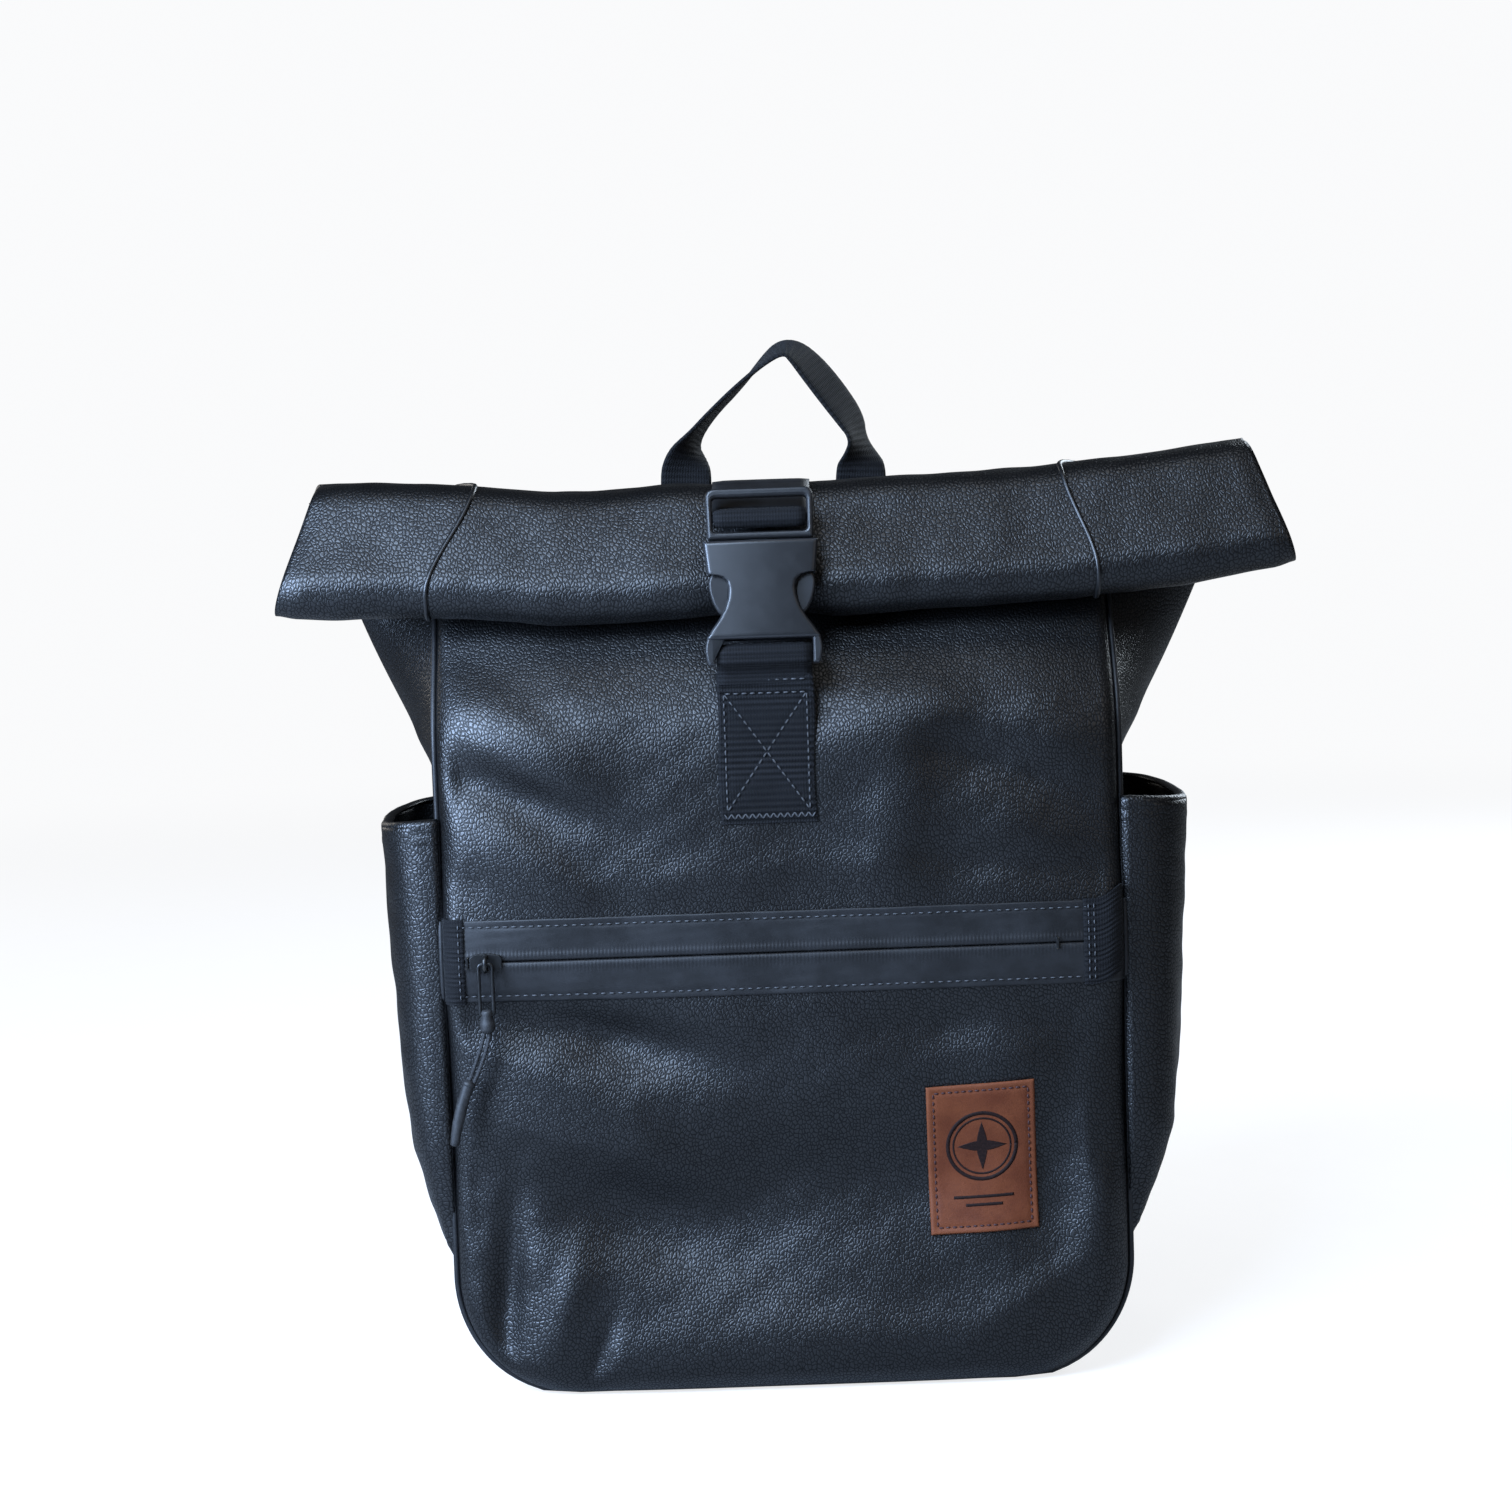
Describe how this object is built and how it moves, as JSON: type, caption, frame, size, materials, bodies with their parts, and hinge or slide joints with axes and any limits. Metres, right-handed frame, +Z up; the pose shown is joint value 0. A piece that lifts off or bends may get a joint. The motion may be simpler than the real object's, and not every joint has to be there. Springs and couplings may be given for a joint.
{
  "type": "roll-top backpack",
  "caption": "Black leather roll-top backpack with a front zip pocket, side pockets, side-release buckle, haul handle and padded shoulder straps.",
  "frame": {"origin": "centre of the base's underside", "axes": "+Z up, front face towards -Y, +X to the right seen from the front"},
  "size_m": [0.433, 0.1923, 0.453],
  "materials": {
    "pebbled_leather": "pebbled grain, satin",
    "coated_tape": "smooth matte coating",
    "webbing": "ribbed woven webbing",
    "lining_cloth": "plain weave",
    "foam": "closed-cell foam",
    "buckle_plastic": "satin moulded",
    "board": "plain sheet",
    "black_metal": "black lacquer, lightly worn",
    "rubber": "matte sleeve",
    "cord": "braided cord",
    "patch_leather": "vegetable-tanned, matte"
  },
  "bodies": {
    "root": {"base_panel": "pebbled_leather", "base_stiffener": "board", "front_panel_lower": "pebbled_leather", "front_panel_upper": "pebbled_leather", "back_panel": "pebbled_leather", "side_gusset_left": "pebbled_leather", "side_gusset_right": "pebbled_leather", "main_lining": "lining_cloth", "back_foam_pad": "foam", "laptop_sleeve": "lining_cloth", "front_pocket_bag": "lining_cloth", "side_pocket_left": "pebbled_leather", "side_pocket_right": "pebbled_leather", "pocket_hem_left": "pebbled_leather", "pocket_hem_right": "pebbled_leather", "zip_tape_upper": "coated_tape", "zip_tape_lower": "coated_tape", "zip_coils": "buckle_plastic", "zip_stops": "black_metal", "zip_end_tab_left": "webbing", "zip_end_tab_right": "webbing", "leather_patch": "patch_leather", "strap_anchor_pad": "webbing", "buckle_webbing_loop": "webbing", "top_strap_back": "webbing", "back_yoke": "pebbled_leather", "strap_webbing_left": "webbing", "strap_webbing_right": "webbing", "strap_anchor_left": "pebbled_leather", "strap_anchor_right": "pebbled_leather"},
    "roll": {"roll_wrap": "pebbled_leather", "roll_inner_turn": "pebbled_leather", "mouth_stiffeners": "board", "top_strap_front": "webbing"},
    "buckle_plug": {"buckle_male": "buckle_plastic", "buckle_bar_loop": "webbing"},
    "prong_left": {"buckle_prong_left": "buckle_plastic"},
    "prong_right": {"buckle_prong_right": "buckle_plastic"},
    "buckle_socket": {"buckle_female": "buckle_plastic"},
    "zip_slider": {"zip_slider": "black_metal"},
    "zip_pull": {"zip_pull_loop": "black_metal", "zip_pull_bead": "rubber"},
    "pull_grip": {"zip_pull_cord": "cord", "zip_pull_grip": "rubber"},
    "haul_handle": {"haul_handle": "webbing"},
    "shoulder_strap_left": {"shoulder_strap_left": "pebbled_leather", "strap_foam_left": "foam", "ladder_lock_left": "buckle_plastic"},
    "shoulder_strap_right": {"shoulder_strap_right": "pebbled_leather", "strap_foam_right": "foam", "ladder_lock_right": "buckle_plastic"},
    "strap_tail_left": {"strap_tail_left": "webbing"},
    "strap_tail_right": {"strap_tail_right": "webbing"}
  },
  "joints": [
    {"name": "roll_unroll", "type": "hinge", "parent": "root", "child": "roll", "pos_m": [0.004, 0.006, 0.3865], "axis": [-1, 0, 0], "range_deg": [0, 90], "deforming": ["buckle_prong_left", "buckle_prong_right"]},
    {"name": "socket_swing", "type": "hinge", "parent": "root", "child": "buckle_socket", "pos_m": [-0.004, -0.07457, 0.32258], "axis": [1, 0, 0], "range_deg": [0, 100]},
    {"name": "buckle_release", "type": "slide", "parent": "roll", "child": "buckle_plug", "axis": [0, 0.1392, 0.9903], "range_m": [0, 0.033], "deforming": ["buckle_prong_left", "buckle_prong_right"]},
    {"name": "prong_squeeze", "type": "hinge", "parent": "buckle_plug", "child": "prong_right", "pos_m": [0.01, -0.06807, 0.36882], "axis": [0, 0.9903, -0.1392], "range_deg": [0, 7]},
    {"name": "prong_squeeze_left", "type": "hinge", "parent": "buckle_plug", "child": "prong_left", "pos_m": [-0.018, -0.06807, 0.36882], "axis": [0, 0.9903, -0.1392], "range_deg": [-7, 0]},
    {"name": "zip_slide", "type": "slide", "parent": "root", "child": "zip_slider", "axis": [1, 0, 0], "range_m": [0, 0.235]},
    {"name": "pull_lift", "type": "hinge", "parent": "zip_slider", "child": "zip_pull", "pos_m": [-0.128, -0.0724, 0.193], "axis": [-1, 0, 0], "range_deg": [0, 170]},
    {"name": "grip_swing", "type": "hinge", "parent": "zip_pull", "child": "pull_grip", "pos_m": [-0.128, -0.0724, 0.1635], "axis": [0, -1, 0], "range_deg": [-30, 30]},
    {"name": "handle_swing", "type": "hinge", "parent": "root", "child": "haul_handle", "pos_m": [0.003, 0.06777, 0.3], "axis": [-1, 0, 0], "range_deg": [0, 125]},
    {"name": "strap_lift_left", "type": "hinge", "parent": "root", "child": "shoulder_strap_left", "pos_m": [-0.052, 0.0705, 0.257], "axis": [1, 0, 0], "range_deg": [0, 35]},
    {"name": "strap_lift_right", "type": "hinge", "parent": "root", "child": "shoulder_strap_right", "pos_m": [0.052, 0.0705, 0.257], "axis": [1, 0, 0], "range_deg": [0, 35]},
    {"name": "tail_slide_left", "type": "slide", "parent": "shoulder_strap_left", "child": "strap_tail_left", "axis": [-0.1392, 0, -0.9903], "range_m": [0, 0.06], "stiffness_N_per_m": 25},
    {"name": "tail_slide_right", "type": "slide", "parent": "shoulder_strap_right", "child": "strap_tail_right", "axis": [0.1392, 0, -0.9903], "range_m": [0, 0.06], "stiffness_N_per_m": 25}
  ],
  "couplings": [
    {"joint": "socket_swing", "follows": "roll_unroll", "ratio": 1.1},
    {"joint": "prong_squeeze_left", "follows": "prong_squeeze", "ratio": -1}
  ]
}
